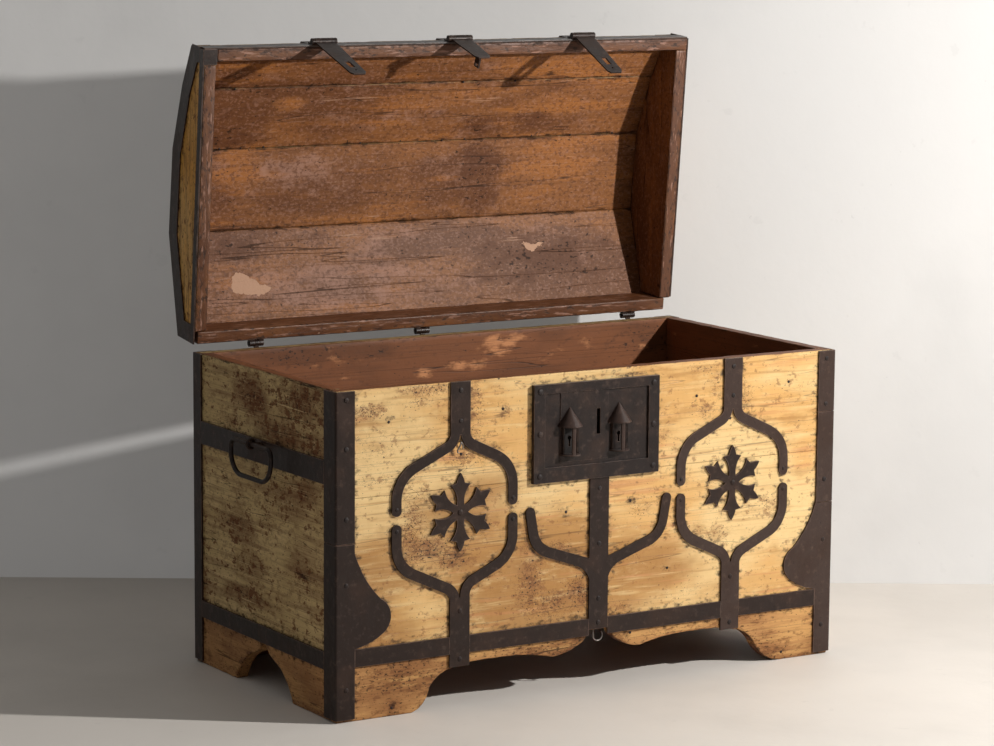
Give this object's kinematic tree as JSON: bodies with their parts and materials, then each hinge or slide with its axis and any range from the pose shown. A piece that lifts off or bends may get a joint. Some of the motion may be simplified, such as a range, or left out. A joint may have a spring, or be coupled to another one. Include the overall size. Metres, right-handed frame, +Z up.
{
  "type": "coffer chest",
  "caption": "Dome-topped wooden storage chest on bracket feet, with a hinged plank lid, forged iron straps, hanging hasps, a plate lock and ring handles.",
  "frame": {"origin": "centre of the whole object's footprint on the floor, with the lid standing open", "axes": "+X to the chest's right seen from the front, +Y to the back, +Z up"},
  "size_m": [1.1738, 0.716, 1.1993],
  "materials": {
    "front_paint": "worn cream-yellow paint over pine",
    "end_paint": "mottled olive-green paint over pine",
    "apron_paint": "worn tan paint over pine",
    "lid_end_paint": "worn mustard paint over pine",
    "lid_paint": "worn reddish-brown varnish over pine",
    "bare_pine": "aged bare pine",
    "strap_iron": "hammered, blackened",
    "lock_iron": "hammered, blackened",
    "worn_steel": "dull, rubbed bare",
    "pin_steel": "blackened, worn dull",
    "hasp_iron": "blackened, lightly rusted",
    "handle_iron": "forged, rubbed by hand",
    "nail_iron": "rusted nail heads"
  },
  "bodies": {
    "chest_case": {"front_upper_board": "front_paint", "front_lower_board": "front_paint", "left_end_boards": "end_paint", "right_end_boards": "end_paint", "left_plinth": "end_paint", "right_plinth": "end_paint", "front_plinth": "apron_paint", "floor_boards": "bare_pine", "back_boards": "bare_pine", "back_plinth": "bare_pine", "front_left_corner_irons": "strap_iron", "front_right_corner_irons": "strap_iron", "back_corner_irons": "strap_iron", "front_base_band": "strap_iron", "end_and_back_base_bands": "strap_iron", "handle_bands": "strap_iron", "left_upper_fork": "strap_iron", "left_lower_fork": "strap_iron", "left_rosette": "strap_iron", "right_upper_fork": "strap_iron", "right_lower_fork": "strap_iron", "right_rosette": "strap_iron", "centre_fork": "strap_iron", "case_hinge_leaves": "strap_iron", "lock_plate": "lock_iron", "lock_frame": "lock_iron", "lock_cover": "lock_iron", "left_keyhole_hood": "lock_iron", "right_keyhole_hood": "lock_iron", "lock_case": "worn_steel", "hinge_pins": "worn_steel", "handle_eyes": "handle_iron", "board_nails": "nail_iron", "iron_rivets": "nail_iron", "hasp_staple": "nail_iron", "apron_hook": "nail_iron"},
    "lid": {"lid_plank_back": "lid_paint", "lid_plank_crown": "lid_paint", "lid_plank_shoulder": "lid_paint", "lid_plank_front": "lid_paint", "lid_back_rail": "lid_paint", "lid_front_rail": "lid_paint", "lid_left_end_panel": "lid_end_paint", "lid_right_end_panel": "lid_end_paint", "lid_left_arch_iron": "strap_iron", "lid_right_arch_iron": "strap_iron", "lid_rim_irons": "strap_iron", "lid_front_edge_iron": "strap_iron", "lid_dome_straps": "strap_iron", "lid_hinge_leaves": "strap_iron", "lid_hasp_brackets": "hasp_iron"},
    "left_pin": {"left_hasp_pin": "pin_steel"},
    "middle_pin": {"middle_hasp_pin": "pin_steel"},
    "right_pin": {"right_hasp_pin": "pin_steel"},
    "left_hasp": {"left_hasp": "hasp_iron"},
    "middle_hasp": {"middle_hasp": "hasp_iron"},
    "right_hasp": {"right_hasp": "hasp_iron"},
    "left_ring": {"left_ring_handle": "handle_iron"},
    "right_ring": {"right_ring_handle": "handle_iron"},
    "bolt": {"lock_bolt": "worn_steel"}
  },
  "joints": [
    {"name": "lid_hinge", "type": "hinge", "parent": "chest_case", "child": "lid", "pos_m": [0, 0.242, 0.611], "axis": [1, 0, 0], "range_deg": [0, 84.7]},
    {"name": "left_pin_turn", "type": "hinge", "parent": "lid", "child": "left_pin", "pos_m": [-0.295, 0.18582, 1.1928], "axis": [1, 0, 0], "range_deg": [-17.6, 0.1]},
    {"name": "left_hasp_swing", "type": "hinge", "parent": "left_pin", "child": "left_hasp", "pos_m": [-0.295, 0.18582, 1.1928], "axis": [-1, 0, 0], "range_deg": [0, 90]},
    {"name": "middle_pin_turn", "type": "hinge", "parent": "lid", "child": "middle_pin", "pos_m": [0.008, 0.18582, 1.1928], "axis": [1, 0, 0], "range_deg": [-30.6, 0.1]},
    {"name": "middle_hasp_swing", "type": "hinge", "parent": "middle_pin", "child": "middle_hasp", "pos_m": [0.008, 0.18582, 1.1928], "axis": [-1, 0, 0], "range_deg": [-16, 74]},
    {"name": "right_pin_turn", "type": "hinge", "parent": "lid", "child": "right_pin", "pos_m": [0.296, 0.18582, 1.1928], "axis": [1, 0, 0], "range_deg": [-25.1, 0.1]},
    {"name": "right_hasp_swing", "type": "hinge", "parent": "right_pin", "child": "right_hasp", "pos_m": [0.296, 0.18582, 1.1928], "axis": [-1, 0, 0], "range_deg": [0, 90]},
    {"name": "left_ring_swing", "type": "hinge", "parent": "chest_case", "child": "left_ring", "pos_m": [-0.576, -0.0475, 0.47], "axis": [0, 1, 0], "range_deg": [-10, 165]},
    {"name": "right_ring_swing", "type": "hinge", "parent": "chest_case", "child": "right_ring", "pos_m": [0.576, -0.0475, 0.47], "axis": [0, -1, 0], "range_deg": [-10, 165]},
    {"name": "bolt_slide", "type": "slide", "parent": "chest_case", "child": "bolt", "axis": [-1, 0, 0], "range_m": [0, 0.014]}
  ],
  "couplings": [
    {"joint": "left_pin_turn", "follows": "lid_hinge", "ratio": -0.20661},
    {"joint": "middle_pin_turn", "follows": "lid_hinge", "ratio": -0.36009},
    {"joint": "right_pin_turn", "follows": "lid_hinge", "ratio": -0.29516}
  ]
}
